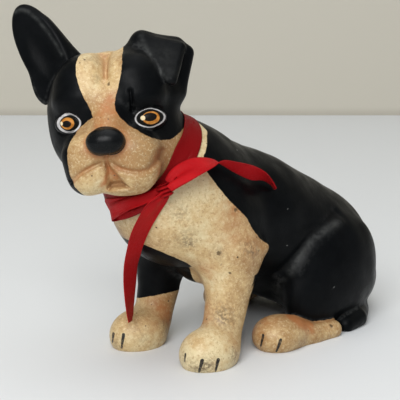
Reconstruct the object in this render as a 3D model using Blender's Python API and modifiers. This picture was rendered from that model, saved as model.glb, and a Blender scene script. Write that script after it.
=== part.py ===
"""Seated puppy doorstop: two hollow iron half castings, two joining screws and a tied neck ribbon.

The puppy sits facing -Y with its left side at +X, on the plane Z = 0. Its head is turned to its left.
The sculpted skin is a blend of rounded forms, held as a distance field and meshed by OpenVDB, which comes
with Blender. Forms are laid out in millimetres about the middle of the body, and the objects hang from one
empty that puts the middle of the whole at the origin. The finished solids are in metres.
"""

import math

import bmesh
import bpy
import numpy as np
import openvdb
from mathutils import Euler, Matrix, Vector
from mathutils.bvhtree import BVHTree

MM = 0.001

# The whole puppy with its ribbon. The pattern is drawn at these sizes, and is stretched to suit other ones.
WIDTH = 112.5
LENGTH = 228.3
HEIGHT = 190.4
STRETCH = np.array((WIDTH / 112.5, LENGTH / 228.3, HEIGHT / 190.4), np.float32)

# How the head is nodded, tipped and turned to the left, in degrees.
HEAD_ANGLES = (-8.0, -4.8, 41.5)

# The castings: the skin's grid and face count, the iron wall, and the gap left at the parting.
SKIN_VOXEL = 1.6
SKIN_FACES = 8800
CORE_VOXEL = 3.2
CORE_FACES = 1500
WALL = 5.0
PARTING_GAP = 0.4
# The parting runs down the middle of the body and turns with the head, so that the face stays whole. The
# turn lies under the ribbon: it is between two heights at the pivot, and slopes up to the nape.
PARTING_TURN = -48.5
PARTING_PIVOT = -0.225 * LENGTH
PARTING_TURN_LOW = 0.625 * HEIGHT
PARTING_TURN_HIGH = 0.751 * HEIGHT
PARTING_SLOPE = 1.067

# The joining screws: where each crosses the parting (y, z), and their sizes.
SCREW_PLACES = {
    "chest_screw": (-42 * STRETCH[1], 84 * STRETCH[2]),
    "rump_screw": (52 * STRETCH[1], 46 * STRETCH[2]),
}
SCREW_RADIUS = 3.0
SCREW_REACH = 16.0
SCREW_HEAD_RADIUS = 6.0
SCREW_HEAD_HEIGHT = 3.4
SCREW_SLOT = 1.3
SCREW_SINK = 5.0
SCREW_PLAY = 0.3
BOSS_RADIUS = 8.5

# The ribbon, and the collar that it makes: the middle of its ring and the tilt of its plane.
RIBBON_WIDTH = 15.9
RIBBON_THICKNESS = 0.6
RIBBON_PLAY = 0.35
COLLAR_TURN = (46.5, -8.6, 0.0)
KNOT_RADII = (4.6, 3.2, 6.2)
KNOT_TURN = (0.0, -25.0, 46.0)

# Places in the pattern: the middle of the collar's lower edge, the knot, and stations along the free
# stretches. A station has its middle, its direction across, and the share of the width that is spread.
COLLAR_PLACE = (-1, -65, 105.3)
KNOT_PLACE = (27.6, -81.6, 99.4)
LOOP = (
    ((24.6, -86.2, 98.3), (0.40, 0.13, -0.91), 0.45),
    ((18.0, -92.6, 95.0), (0.40, 0.13, -0.91), 0.62),
    ((4.6, -94.6, 90.6), (0.36, 0.13, -0.92), 0.75),
    ((-12.0, -88.4, 84.0), (0.30, 0.13, -0.94), 0.95),
    ((-14.6, -85.4, 83.4), (0.26, 0.13, -0.95), 1.0),
    ((-13.0, -83.8, 83.0), (0.30, 0.13, -0.94), 0.95),
    ((-3.0, -88.6, 84.6), (0.40, 0.13, -0.91), 0.75),
    ((12.4, -88.8, 90.6), (0.40, 0.13, -0.91), 0.62),
    ((22.0, -84.8, 95.6), (0.40, 0.13, -0.91), 0.45),
)
LONG_TAIL = (
    ((27.4, -84.2, 93.4), (0.20, 0.85, 0.48), 0.45),
    ((23.6, -87.8, 88.6), (-0.32, 0.94, 0.09), 0.85),
    ((16.6, -89.6, 78.9), (-0.24, 0.97, 0.04), 1.0),
    ((8.7, -86.6, 68.0), (-0.35, 0.94, 0.0), 1.0),
    ((-2.7, -80.6, 55.1), (-0.39, 0.90, -0.19), 1.0),
    ((-6.5, -78.6, 45.4), (-0.41, 0.89, -0.19), 1.0),
    ((-8.9, -77.0, 35.0), (-0.45, 0.87, -0.20), 1.0),
    ((-11.5, -75.0, 25.6), (-0.60, 0.77, -0.21), 1.0),
    ((-12.6, -73.6, 20.8), (-0.65, 0.73, -0.21), 0.8),
)
SHORT_TAIL = (
    ((31.4, -78.6, 103.6), (0.38, -0.37, -0.85), 0.45),
    ((34.0, -73.4, 108.0), (0.60, -0.58, -0.54), 0.8),
    ((37.4, -66.6, 111.2), (0.68, -0.66, -0.31), 1.0),
    ((39.2, -54.2, 112.0), (0.70, -0.68, 0.21), 1.0),
    ((37.4, -38.8, 107.2), (0.60, -0.58, 0.56), 1.0),
    ((33.4, -21.5, 102.4), (0.53, -0.52, 0.67), 1.0),
    ((33.0, -10.9, 97.2), (0.61, -0.59, 0.53), 1.0),
    ((35.0, -6.9, 91.4), (0.69, -0.66, 0.29), 0.9),
)
TURNS_PER_STATION = 3

FIELD_LOW = (-0.606 * WIDTH, -0.591 * LENGTH, -0.074 * HEIGHT)
FIELD_HIGH = (0.533 * WIDTH, 0.468 * LENGTH, 1.05 * HEIGHT)


def turned(angles):
    """Rotation matrix for X, Y and Z turns in degrees."""
    return np.array(Euler([math.radians(a) for a in angles]).to_matrix())


def local(points, centre, turn=(0, 0, 0)):
    """The points as seen from a form's own centre and axes."""
    return (points - np.array(centre, np.float32)) @ turned(turn).astype(np.float32)


def egg(points, centre, radii, turn=(0, 0, 0)):
    """Distance to an ellipsoid."""
    scaled = local(points, centre, turn) / np.array(radii, np.float32)
    reach = np.linalg.norm(scaled, axis=-1) + 1e-6
    slope = np.linalg.norm(scaled / np.array(radii, np.float32), axis=-1) + 1e-6
    return reach * (reach - 1) / slope


def cushion(points, centre, halves, rounding, turn=(0, 0, 0)):
    """Distance to a box with generously rounded edges."""
    beyond = np.abs(local(points, centre, turn)) - (np.array(halves, np.float32) - rounding)
    outside = np.linalg.norm(np.maximum(beyond, 0), axis=-1)
    return outside + np.minimum(beyond.max(-1), 0) - rounding


def limb(points, start, end, start_radius, end_radius):
    """Distance to a round rod that tapers from start to end."""
    start, along = np.array(start, np.float32), np.array(end, np.float32) - np.array(start, np.float32)
    share = np.clip((points - start) @ along / (along @ along), 0, 1)
    nearest = start + share[..., None] * along
    return np.linalg.norm(points - nearest, axis=-1) - (start_radius + share * (end_radius - start_radius))


def chain(points, *stations):
    """Distance to a bent rod through stations of (point, radius)."""
    pairs = zip(stations, stations[1:])
    return np.minimum.reduce([limb(points, a, b, ra, rb) for (a, ra), (b, rb) in pairs])


def join(one, other, fillet):
    """Smooth union with a fillet of about that size."""
    share = np.clip(0.5 + 0.5 * (other - one) / fillet, 0, 1)
    return other + (one - other) * share - fillet * share * (1 - share)


def carve(one, tool, fillet):
    """Smooth cut of a tool out of a form."""
    return -join(-one, tool, fillet)


def crease(one, other, width):
    """Union of two forms with a rounded groove along the line where they meet."""
    return carve(np.minimum(one, other), np.hypot(one, other) - width, width)


def plate(points, corners, thickness):
    """Distance to a three-cornered plate with round edges."""
    a, b, c = [np.array(corner, np.float32) for corner in corners]
    normal = np.cross(b - a, c - a)
    normal /= np.linalg.norm(normal)
    inside = np.ones(points.shape[:-1], bool)
    for start, end in ((a, b), (b, c), (c, a)):
        inside &= (points - start) @ np.cross(normal, end - start) >= 0
    rims = np.minimum.reduce([limb(points, s, e, 0, 0) for s, e in ((a, b), (b, c), (c, a))])
    return np.where(inside, np.abs((points - a) @ normal), rims) - thickness / 2


def folded(points):
    """The points with left and right folded together, for forms that come in pairs."""
    return points * np.array((0, 1, 1), np.float32) + np.abs(points) * np.array((1, 0, 0), np.float32)


def trace(points, width, path, plane=(1, 0, 1)):
    """Bump of height 1 along a line drawn through places, seen square to a plane."""
    flat = np.array(plane, np.float32)
    far = chain(points * flat, *[(np.multiply(place, plane), 0) for place in path])
    return np.exp(-np.square(far / width))


def wedge(points, corners, soft):
    """A soft-edged patch of height 1 inside three corners, seen square to the face as (across, up)."""
    inner = np.full(points.shape[:-1], 1e6, np.float32)
    for a, b in zip(corners, (*corners[1:], corners[0])):
        edge = np.array((b[0] - a[0], b[1] - a[1]), np.float32)
        edge /= np.linalg.norm(edge)
        inner = np.minimum(inner, (points[..., 2] - a[1]) * edge[0] - (points[..., 0] - a[0]) * edge[1])
    return np.clip(inner / soft + 0.5, 0, 1)


def in_head(points):
    return local(points, (-6, -88, 131), HEAD_ANGLES)


def in_face(points):
    return in_head(points) - np.array((1.1, 0, 0), np.float32)


def nose_field(face):
    lower = cushion(face, (-0.2, -36.6, -10.2), (8.5, 6.3, 5.3), 5.2)
    return join(lower, egg(face, (-0.2, -36.9, -9.2), (9.6, 7.3, 6.7)), 2)


def eye_field(face):
    return egg(folded(face), (20.3, -17.5, 0.5), (9, 7.5, 6), (0, 0, 38))


def head_field(points):
    p = in_head(points)
    face = in_face(points)
    both = folded(face)
    skull = egg(p, (-0.6, 5, 9), (34, 31, 28))
    cheeks = egg(p, (-0.2, 2, -7), (32.5, 27, 26))
    head = join(skull, cheeks, 10)
    head = join(head, egg(both, (13, -12, 19), (15, 14, 16)), 8)
    muzzle = egg(face, (0.6, -16, -18.5), (24.2, 17, 17))
    head = join(head, muzzle, 7)
    bridge = limb(face, (0, -20, 5), (0, -29, -5), 9, 8)
    head = join(head, bridge, 6)
    brows = egg(both, (18, -19, 12.5), (10, 7, 5), (0, 0, 35))
    head = join(head, brows, 6)
    sockets = egg(both, (23, -29.2, 1.5), (11, 6, 8), (0, 0, 38))
    head = carve(head, sockets, 3)
    head = crease(head, eye_field(face), 0.6)
    pads = egg(both, (11, -25, -15), (14, 10, 10), (0, 10, 0))
    head = join(head, pads, 6)
    flews = egg(both, (12, -21.5, -24.6), (11.7, 12, 11.8), (0, -15, 0))
    head = join(head, flews, 4)
    front = p[..., 1] < -5
    head = head + 3.2 * front * trace(face, 2.7, ((-2.4, 0, 34), (-1, 0, 28.5), (0.2, 0, 21)))
    head = head + 1.5 * front * trace(face, 1.1, ((12.2, 0, 19), (12.9, 0, 12), (12.6, 0, 5)))
    smile = ((-4, 0, -20), (-8, 0, -21.5), (-14, 0, -24.5), (-20, 0, -28.5))
    head = head + 1.7 * front * trace(face, 1.5, smile)
    smile = ((1, 0, -20), (5, 0, -23), (10, 0, -25), (15, 0, -26), (19, 0, -25), (22, 0, -22.4),
             (24, 0, -18.5), (24.8, 0, -16.5))
    head = head + 1.7 * front * trace(face, 1.5, smile)
    head = join(head, egg(face, (6, -19, -33.4), (12, 10.5, 4.5)), 2)
    head = head + 2.6 * front * wedge(face, ((-1.2, -20), (-2.2, -33.5), (8, -33)), 1.8)
    head = head + 1.2 * front * trace(face, 1.1, ((-0.8, 0, -15), (-1, 0, -21)))
    head = join(head, nose_field(face), 0.7)
    leaf = local(p, (-35, 5.5, 39), (0, -28, -20))
    ear = join(egg(leaf, (0, 0, 0), (13.2, 7.5, 29)), egg(p, (-32, 4, 23), (11.3, 7, 12.5)), 5)
    ear = join(ear, limb(p, (-17, 6, 31), (-34, 7, 52), 5, 3.6), 5)
    ear = carve(ear, leaf[..., 1] + 2.8, 1.2)
    ear = carve(ear, egg(leaf, (1.5, -7.8, -2), (9, 7, 21)), 2.5)
    head = crease(head, ear, 0.9)
    ear_front = plate(p, ((11.5, -3, 31), (30, -2, 14), (17.5, -2, 40)), 8)
    ear_back = plate(p, ((18, 0, 40.5), (34, 4, 14), (39.5, 5, 33)), 9)
    fold = limb(p, (18, -0.5, 39.6), (34.5, 3, 37.2), 4.6, 4.6)
    flap = plate(p, ((19.5, -5, 40), (37.6, -2, 35.5), (33.6, -16.5, 19)), 6)
    head = join(head, join(join(ear_front, ear_back, 6), fold, 4), 9)
    head = join(head, flap, 2.6)
    return head


def foreleg(points, elbow, wrist, paw):
    leg = chain(points, (elbow, 16), (wrist, 12), ((wrist[0], wrist[1] - 4, 14), 10.6))
    return join(leg, egg(points, paw, (14.5, 18, 14)), 7)


def left_foreleg(points):
    return foreleg(points, (27, -35, 58), (27.6, -37.4, 32), (32, -55, 6.5))


def right_foreleg(points):
    return foreleg(points, (-25, -37, 58), (-24, -41, 30), (-20, -60, 6.5))


def hind_foot(points, x, y):
    side = math.copysign(1, x)
    heel = ((x + side * 8.2, y + 37.5, 3.4), 5.4)
    foot = chain(points, heel, ((x + side * 5, y + 23, 4), 7.5), ((x + side * 1.5, y + 10, 6), 10.5))
    return join(foot, egg(points, (x, y, 7.5), (14, 16, 12)), 5)


HIND_TOES = ((37.5, -6.5), (-37.5, 33))
THIGHS = ((33, 42, 32), (-33, 46, 32))


def body_field(points):
    p = points
    both = folded(p)
    rump = egg(p, (0, 53, 39), (41, 43, 40))
    seat = egg(p, (0, 59, 22), (42.5, 43.5, 28))
    barrel = egg(p, (0, 4, 66), (36, 62, 36), (-26, 0, 0))
    chest = egg(p, (0, -49, 88), (37, 38, 40), (15, 0, 0))
    body = join(join(rump, barrel, 22), chest, 16)
    back = chain(p, ((-1, -40, 96), 28), ((0, -3, 78), 29), ((1, 39, 58.5), 29))
    body = join(body, back, 6)
    body = join(body, seat, 10)
    body = join(body, neck_field(p), 12)
    shoulder = egg(both, (25, -36, 66), (15, 22, 28), (15, 0, 0))
    body = join(body, shoulder, 10)
    body = carve(body, egg(p, (-8, 20, -2), (34, 38, 18)), 6)
    body = join(body, left_foreleg(p), 6.5)
    body = join(body, limb(p, (29, -33, 61), (38.2, -20.5, 59), 10, 3), 4)
    body = join(body, right_foreleg(p), 9)
    for toes, thigh in zip(HIND_TOES, THIGHS):
        swell = egg(p, thigh, (16, 38, 28), (30, 0, 0))
        body = join(join(body, swell, 10), hind_foot(p, *toes), 3)
    fold = ((0, 48, 68), (0, 34, 64), (0, 20, 58), (0, 11, 49), (0, 5, 40))
    ridge = ((0, 46, 64), (0, 36, 61), (0, 23, 55), (0, 15, 46.5), (0, 10, 39))
    groove = 1.1 * trace(both, 2.8, fold, (0, 1, 1)) - 0.8 * trace(both, 2.2, ridge, (0, 1, 1))
    body = body + groove * np.clip(both[..., 0] / 8 - 1, 0, 1)
    tip = ((45.5, 43.5, 3.5), 4.8)
    tail = chain(p, ((16, 80, 5.5), 6), ((33, 70.5, 4.8), 6), ((43, 57, 4.5), 5.8), tip)
    return join(body, tail, 4)


def neck_field(points):
    return limb(points, (0, -44, 92), (-4, -76, 118), 28, 27)


def neck_form(points):
    """The chest and neck without the head."""
    return join(egg(points, (0, -49, 88), (37, 38, 40), (15, 0, 0)), neck_field(points), 12)


def dog_field(points):
    """Distance to the puppy's skin. The feet and seat run on below the ground, where they are cut flat."""
    pattern = points / STRETCH
    return join(body_field(pattern), head_field(pattern), 6) * STRETCH.min()


def core_field(points):
    """Distance to the hollow inside the torso, neck and skull, with the screw bosses left standing."""
    p = points / STRETCH
    torso = join(egg(p, (0, 53, 42), (40, 41, 39)), egg(p, (0, 4, 66), (36, 62, 36), (-26, 0, 0)), 22)
    torso = join(torso, egg(p, (0, -49, 88), (37, 38, 40), (15, 0, 0)), 16)
    torso = join(torso, limb(p, (0, -44, 92), (-4, -76, 118), 28, 27), 12)
    skull = egg(in_head(p), (0, 3, 2), (32, 28, 30))
    hollow = np.maximum(join(torso, skull, 6) * STRETCH.min(), WALL * 2 - points[..., 2]) + WALL
    for y, z in SCREW_PLACES.values():
        boss = limb(points, (-WIDTH, y, z), (WIDTH, y, z), BOSS_RADIUS, BOSS_RADIUS)
        hollow = carve(hollow, boss, 3)
    return hollow


def sculpted(name, field, voxel):
    """Mesh of a field's surface, in metres. Only grid places close to the surface are worked out finely."""
    counts = [int((high - low) / voxel / 4) * 4 + 5 for low, high in zip(FIELD_LOW, FIELD_HIGH)]
    axes = [np.arange(n, dtype=np.float32) * voxel + low for n, low in zip(counts, FIELD_LOW)]
    coarse = field(np.stack(np.meshgrid(*[axis[::4] for axis in axes], indexing="ij"), -1))
    rough = coarse.repeat(4, 0).repeat(4, 1).repeat(4, 2)[: counts[0], : counts[1], : counts[2]]
    values = np.where(rough < 0, -3 * voxel, 3 * voxel).astype(np.float32)
    near = np.nonzero(np.abs(rough) < 12 * voxel)
    places = np.stack([axis[index] for axis, index in zip(axes, near)], -1)
    values[near] = np.clip(field(places), -3 * voxel, 3 * voxel)
    grid = openvdb.FloatGrid()
    grid.copyFromArray(values)
    points, triangles, quads = grid.convertToPolygons(isovalue=0.0)
    points = (points * voxel + np.array(FIELD_LOW)) * MM
    mesh = bpy.data.meshes.new(name)
    mesh.from_pydata(points, [], [*triangles.tolist(), *quads.tolist()])
    return mesh


def thinned(mesh, faces):
    """The mesh with its flatter places collapsed, down to about that many triangles."""
    helper = bpy.data.objects.new(mesh.name, mesh)
    bpy.context.scene.collection.objects.link(helper)
    helper.modifiers.new("three_sided", "TRIANGULATE")
    collapse = helper.modifiers.new("thin", "DECIMATE")
    collapse.ratio = faces / (2 * len(mesh.polygons))
    graph = bpy.context.evaluated_depsgraph_get()
    thin = bpy.data.meshes.new_from_object(helper.evaluated_get(graph))
    thin.name = mesh.name
    bpy.data.objects.remove(helper)
    bpy.data.meshes.remove(mesh)
    return thin


def paint(name, colour, roughness, metallic):
    material = bpy.data.materials.new(name)
    material.use_nodes = True
    shader = material.node_tree.nodes["Principled BSDF"]
    shader.inputs["Base Color"].default_value = (*colour, 1)
    shader.inputs["Roughness"].default_value = roughness
    shader.inputs["Metallic"].default_value = metallic
    return material


def placed(name, mesh, group, material=None):
    """An object in a collection, hung from the empty that sets the origin."""
    thing = bpy.data.objects.new(name, mesh)
    group.objects.link(thing)
    thing.parent = ORIGIN
    if material:
        mesh.materials.clear()
        mesh.materials.append(material)
    else:
        thing.hide_render = True
        thing.display_type = "WIRE"
    return thing


def cut(thing, cutter, operation):
    modifier = thing.modifiers.new(cutter.name, "BOOLEAN")
    modifier.object = cutter
    modifier.operation = operation
    modifier.solver = "EXACT"


def parting_block(name, side):
    """Everything on one side of the parting: the parting sheet, swept sideways."""
    levels = (-2 * HEIGHT, *np.linspace(PARTING_TURN_LOW, PARTING_TURN_HIGH, 9), 2.6 * HEIGHT)
    columns = (-200, -60, -46, -34, -22, -11, 0, 11, 22, 34, 46, 60, 240)
    form = bmesh.new()
    rows = []
    for level in levels:
        share = np.clip((level - PARTING_TURN_LOW) / (PARTING_TURN_HIGH - PARTING_TURN_LOW), 0, 1)
        angle = math.radians(PARTING_TURN) * share * share * (3 - 2 * share)
        row = []
        for column in columns:
            back = column * math.cos(angle)
            x, y, z = np.array((-column * math.sin(angle), back, PARTING_SLOPE * back)) * STRETCH
            place = Vector((x + side * PARTING_GAP / 2, PARTING_PIVOT + y, level + z))
            row.append(form.verts.new(place * MM))
        rows.append(row)
    for low, high in zip(rows, rows[1:]):
        for i in range(len(columns) - 1):
            form.faces.new((low[i], low[i + 1], high[i + 1]))
            form.faces.new((low[i], high[i + 1], high[i]))
    swept = bmesh.ops.extrude_face_region(form, geom=form.faces[:])["geom"]
    moved = [part for part in swept if isinstance(part, bmesh.types.BMVert)]
    bmesh.ops.translate(form, verts=moved, vec=Vector((side * 3 * WIDTH, 0, 0)) * MM)
    bmesh.ops.recalc_face_normals(form, faces=form.faces[:])
    mesh = bpy.data.meshes.new(name)
    form.to_mesh(mesh)
    form.free()
    return mesh


def box(name, low, high):
    """Mesh of a plain box between two corners."""
    bpy.ops.mesh.primitive_cube_add(size=1)
    cube = bpy.context.object
    mesh = cube.data
    bpy.data.objects.remove(cube)
    size, middle = Vector(high) - Vector(low), (Vector(high) + Vector(low)) / 2
    mesh.transform(Matrix.Scale(MM, 4) @ Matrix.Translation(middle) @ Matrix.Diagonal((*size, 1)))
    mesh.name = name
    return mesh


def turned_solid(name, profile, sides):
    """Solid of revolution about X from a profile of (x, radius), with its ends on the axis."""
    form = bmesh.new()
    rings = []
    for x, radius in profile:
        angles = [2 * math.pi * i / sides for i in range(sides if radius else 1)]
        places = [Vector((x, radius * math.cos(a), radius * math.sin(a))) * MM for a in angles]
        rings.append([form.verts.new(place) for place in places])
    for near, far in zip(rings, rings[1:]):
        for i in range(sides):
            corners = [near[i % len(near)], near[(i + 1) % len(near)]]
            corners += [far[(i + 1) % len(far)], far[i % len(far)]]
            form.faces.new(list(dict.fromkeys(corners)))
    bmesh.ops.recalc_face_normals(form, faces=form.faces[:])
    mesh = bpy.data.meshes.new(name)
    form.to_mesh(mesh)
    form.free()
    return mesh


def flank(y, z):
    """How far the right flank stands from the parting at a height."""
    outwards = np.linspace(0, 0.55 * WIDTH, 601)
    places = np.stack([-outwards, np.full(601, y), np.full(601, z)], -1).astype(np.float32)
    return float(outwards[np.argmax(dog_field(places) > 0)])


def joining_screw(name, y, z):
    """A slotted round-head screw let into the right flank, with the hole that takes it."""
    seat = -(flank(y, z) - SCREW_SINK)
    radius, top, play = SCREW_HEAD_RADIUS, SCREW_HEAD_HEIGHT, SCREW_PLAY
    dome = [(seat - top * math.sin(a), radius * math.cos(a)) for a in np.linspace(0.25, math.pi / 2, 6)]
    dome[-1] = (seat - top, 0)
    shank = [(SCREW_REACH, 0), (SCREW_REACH, SCREW_RADIUS - 0.6), (SCREW_REACH - 0.8, SCREW_RADIUS)]
    body = turned_solid(name, [*shank, (seat, SCREW_RADIUS), (seat, radius), *dome], 24)
    screw = placed(name, body, PARTS, paint(name, (0.12, 0.11, 0.10), 0.45, 1.0))
    screw.location = Vector((0, y, z)) * MM
    width = SCREW_SLOT / 2
    slot = box(name + "_slot", (seat - top - 1, y - width, z - 20), (seat - top + 1.6, y + width, z + 20))
    cut(screw, placed(name + "_slot", slot, CUTTERS), "DIFFERENCE")
    bore = SCREW_RADIUS + play
    hole = turned_solid(
        name + "_hole",
        [(SCREW_REACH + 1, 0), (SCREW_REACH + 1, bore), (seat + play, bore), (seat + play, radius + play),
         (-WIDTH, radius + play), (-WIDTH, 0)],
        24,
    )
    hole_cutter = placed(name + "_hole", hole, CUTTERS)
    hole_cutter.location = Vector((0, y, z)) * MM
    return hole_cutter


def smooth_path(stations, steps):
    """Places on a smooth curve through the stations, as rows of numbers."""
    rows = np.array([np.concatenate([np.ravel(item) for item in station]) for station in stations])
    ends = np.vstack([2 * rows[0] - rows[1], rows, 2 * rows[-1] - rows[-2]])
    path = []
    for a, b, c, d in zip(ends, ends[1:], ends[2:], ends[3:]):
        for t in np.arange(steps) / steps:
            bend = (2 * a - 5 * b + 4 * c - d) * t * t
            path.append(0.5 * (2 * b + (c - a) * t + bend + (3 * b - a - 3 * c + d) * t**3))
    return np.array([*path, rows[-1]])


def eased_out(place, tree, gap):
    """The place, moved straight out of a solid until it clears it by a gap."""
    nearest, normal, _, _ = tree.find_nearest(place)
    height = (place - nearest).dot(normal)
    if height < gap:
        return nearest + normal * gap
    return place


def ribbon_strip(name, rows, closed=False):
    """A thin ribbon over rows of places, each row running across it."""
    count, across = len(rows), len(rows[0])
    mesh = bpy.data.meshes.new(name)
    faces = []
    for i in range(count if closed else count - 1):
        for j in range(across - 1):
            a, b = i * across + j, (i + 1) % count * across + j
            faces.append((a, a + 1, b + 1, b))
    mesh.from_pydata([place for row in rows for place in row], [], faces)
    strip = placed(name, mesh, PARTS, RIBBON)
    thick = strip.modifiers.new("thickness", "SOLIDIFY")
    thick.thickness = RIBBON_THICKNESS * MM
    thick.offset = 0
    return strip


def collar_row(angle):
    """Places on the neck at one turn about it, from the collar's lower edge up to the jaw."""
    axes = turned(COLLAR_TURN).astype(np.float32)
    ray = axes @ np.array((math.cos(angle), math.sin(angle), 0), np.float32)
    outwards = np.arange(8, 70, 0.2, dtype=np.float32)
    levels = np.arange(0, 0.97 * RIBBON_WIDTH / STRETCH[2], 0.5, dtype=np.float32)
    start = np.array(COLLAR_PLACE, np.float32) + levels[:, None] * axes[:, 2]
    line = start[:, None] + outwards[:, None] * ray
    reach = outwards[np.argmax(neck_form(line) > 0, axis=1)]
    places = start + reach[:, None] * ray
    jaw = head_field(places) < 1.6
    top = int(np.argmax(jaw)) - 1 if jaw.any() else len(levels) - 1
    return places * STRETCH, top


def collar(skin):
    """The stretch round the neck, lying on the iron, with its upper edge tucked up under the jaw."""
    turns = 48
    found = [collar_row(2 * math.pi * turn / turns) for turn in range(turns)]
    tops = np.array([top for _, top in found], float)
    rows = []
    for turn, (places, _) in enumerate(found):
        near = [min(tops[(turn + j + k) % turns] for k in (-1, 0, 1)) for j in (-2, -1, 0, 1, 2)]
        row = []
        for share in np.linspace(max(np.mean(near), 16), 0, 5):
            low = int(share)
            place = places[low] + (places[min(low + 1, len(places) - 1)] - places[low]) * (share - low)
            row.append(eased_out(Vector(place) * MM, skin, (RIBBON_PLAY + RIBBON_THICKNESS / 2) * MM))
        rows.append(row)
    return ribbon_strip("ribbon_collar", rows, closed=True)


def free_stretch(name, stations, skin, knot):
    """A stretch that stands free of the iron, from one side of the knot."""
    over_collar = (2 * RIBBON_PLAY + 1.5 * RIBBON_THICKNESS + 0.2) * MM
    rows = []
    for row in smooth_path(stations, TURNS_PER_STATION):
        middle, across, spread = Vector(row[:3] * STRETCH), Vector(row[3:6]).normalized(), row[6]
        places = []
        for share in (-0.5, -0.17, 0.17, 0.5):
            place = (middle + across * share * spread * RIBBON_WIDTH) * MM
            place = eased_out(place, skin, over_collar)
            places.append(eased_out(place, knot, (RIBBON_PLAY + RIBBON_THICKNESS / 2 + 0.1) * MM))
        rows.append(places)
    return ribbon_strip(name, rows)


def tree_of(mesh):
    return BVHTree.FromPolygons([v.co for v in mesh.vertices], [p.vertices for p in mesh.polygons])


for old in list(bpy.data.objects):
    bpy.data.objects.remove(old)

PARTS = bpy.data.collections.new("dog_doorstop")
CUTTERS = bpy.data.collections.new("cutters")
for group in (PARTS, CUTTERS):
    bpy.context.scene.collection.children.link(group)
ORIGIN = bpy.data.objects.new("origin", None)
PARTS.objects.link(ORIGIN)
RIBBON = paint("red_ribbon", (0.42, 0.012, 0.02), 0.5, 0.0)

skin_mesh = thinned(sculpted("skin", dog_field, SKIN_VOXEL), SKIN_FACES)
core_mesh = thinned(sculpted("hollow", core_field, CORE_VOXEL), CORE_FACES)
hollow = placed("hollow", core_mesh, CUTTERS)
ground = placed("ground", box("ground", (-WIDTH, -LENGTH, -HEIGHT / 3), (WIDTH, LENGTH, 0)), CUTTERS)
holes = [joining_screw(name, y, z) for name, (y, z) in SCREW_PLACES.items()]
for name, side, colour in (("left_half", 1, (0.55, 0.40, 0.24)), ("right_half", -1, (0.02, 0.02, 0.022))):
    half = placed(name, skin_mesh.copy(), PARTS, paint(name, colour, 0.4, 0.0))
    cut(half, hollow, "DIFFERENCE")
    cut(half, ground, "DIFFERENCE")
    cut(half, placed(name + "_block", parting_block(name + "_block", side), CUTTERS), "INTERSECT")
    for hole in holes:
        cut(half, hole, "DIFFERENCE")

skin_tree = tree_of(skin_mesh)
collar(skin_tree)
bpy.ops.mesh.primitive_uv_sphere_add(segments=20, ring_count=12, radius=1)
ball = bpy.context.object
knot_mesh = ball.data
bpy.data.objects.remove(ball)
knot_place = Matrix.Translation(KNOT_PLACE * STRETCH) @ Matrix(turned(KNOT_TURN)).to_4x4()
knot_mesh.transform(Matrix.Scale(MM, 4) @ knot_place @ Matrix.Diagonal((*KNOT_RADII, 1)))
placed("ribbon_knot", knot_mesh, PARTS, RIBBON)
knot_tree = tree_of(knot_mesh)
stretches = {"ribbon_loop": LOOP, "ribbon_tail_long": LONG_TAIL, "ribbon_tail_short": SHORT_TAIL}
for name, stations in stretches.items():
    free_stretch(name, stations, skin_tree, knot_tree)

corners = np.array([v.co for v in skin_mesh.vertices])
low, high = corners.min(0), corners.max(0)
ORIGIN.location = (-(low[0] + high[0]) / 2, -(low[1] + high[1]) / 2, 0)
bpy.data.meshes.remove(skin_mesh)
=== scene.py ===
"""Looks of the seated puppy doorstop: hand-painted iron castings, joining screws and a tied satin ribbon."""

import math

import bmesh
import bpy
import numpy as np
import openvdb
from mathutils import Euler, Matrix, Vector
from mathutils.bvhtree import BVHTree


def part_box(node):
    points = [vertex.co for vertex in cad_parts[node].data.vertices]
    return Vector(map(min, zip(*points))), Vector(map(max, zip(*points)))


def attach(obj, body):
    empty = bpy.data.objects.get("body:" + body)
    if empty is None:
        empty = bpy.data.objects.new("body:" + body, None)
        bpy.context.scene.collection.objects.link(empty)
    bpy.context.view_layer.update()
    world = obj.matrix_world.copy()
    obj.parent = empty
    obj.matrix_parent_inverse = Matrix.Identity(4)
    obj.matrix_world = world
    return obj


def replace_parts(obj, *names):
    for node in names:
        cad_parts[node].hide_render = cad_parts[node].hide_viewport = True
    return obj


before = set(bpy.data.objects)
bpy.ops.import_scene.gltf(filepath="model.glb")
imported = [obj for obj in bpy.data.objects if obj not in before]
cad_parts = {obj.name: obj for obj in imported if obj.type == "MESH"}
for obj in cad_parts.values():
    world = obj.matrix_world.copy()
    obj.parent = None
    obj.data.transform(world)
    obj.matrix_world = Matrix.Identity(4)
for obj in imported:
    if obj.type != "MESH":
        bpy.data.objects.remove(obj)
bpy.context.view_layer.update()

MM = 0.001

# The puppy is laid out in millimetres about the middle of its body. The chest screw gives where that lies.
SCREW_REACH = 16.0
CHEST_SCREW_Y = -42.0
screw_low, screw_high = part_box("chest_screw")
BODY_MIDDLE = np.array(
    (screw_high.x / MM - SCREW_REACH, (screw_low.y + screw_high.y) / 2 / MM - CHEST_SCREW_Y, 0)
)

HEAD_CENTRE = (-6.0, -88.0, 131.0)
HEAD_ANGLES = (-8.0, -4.8, 41.5)
FACE_MIDDLE = 1.1

# Grids of the two sculpted forms, which meet under the ribbon.
HEAD_VOXEL = 0.62
BODY_VOXEL = 0.9
HEAD_BOX = ((-66.0, -134.0, 80.0), (36.0, -30.0, 200.0))
BODY_BOX = ((-58.0, -104.0, -6.0), (58.0, 106.0, 146.0))
# In voxels: the coarse grid's step, how near the skin the fine one takes over, and the distances it keeps.
COARSE_STEP = 4
COARSE_BAND = 11
FINE_BAND = 3

# The parting of the head, turned about an upright line. The body's parting is its middle plane.
PARTING_TURN = -48.5
PARTING_PIVOT = (0.0, -51.0)

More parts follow.
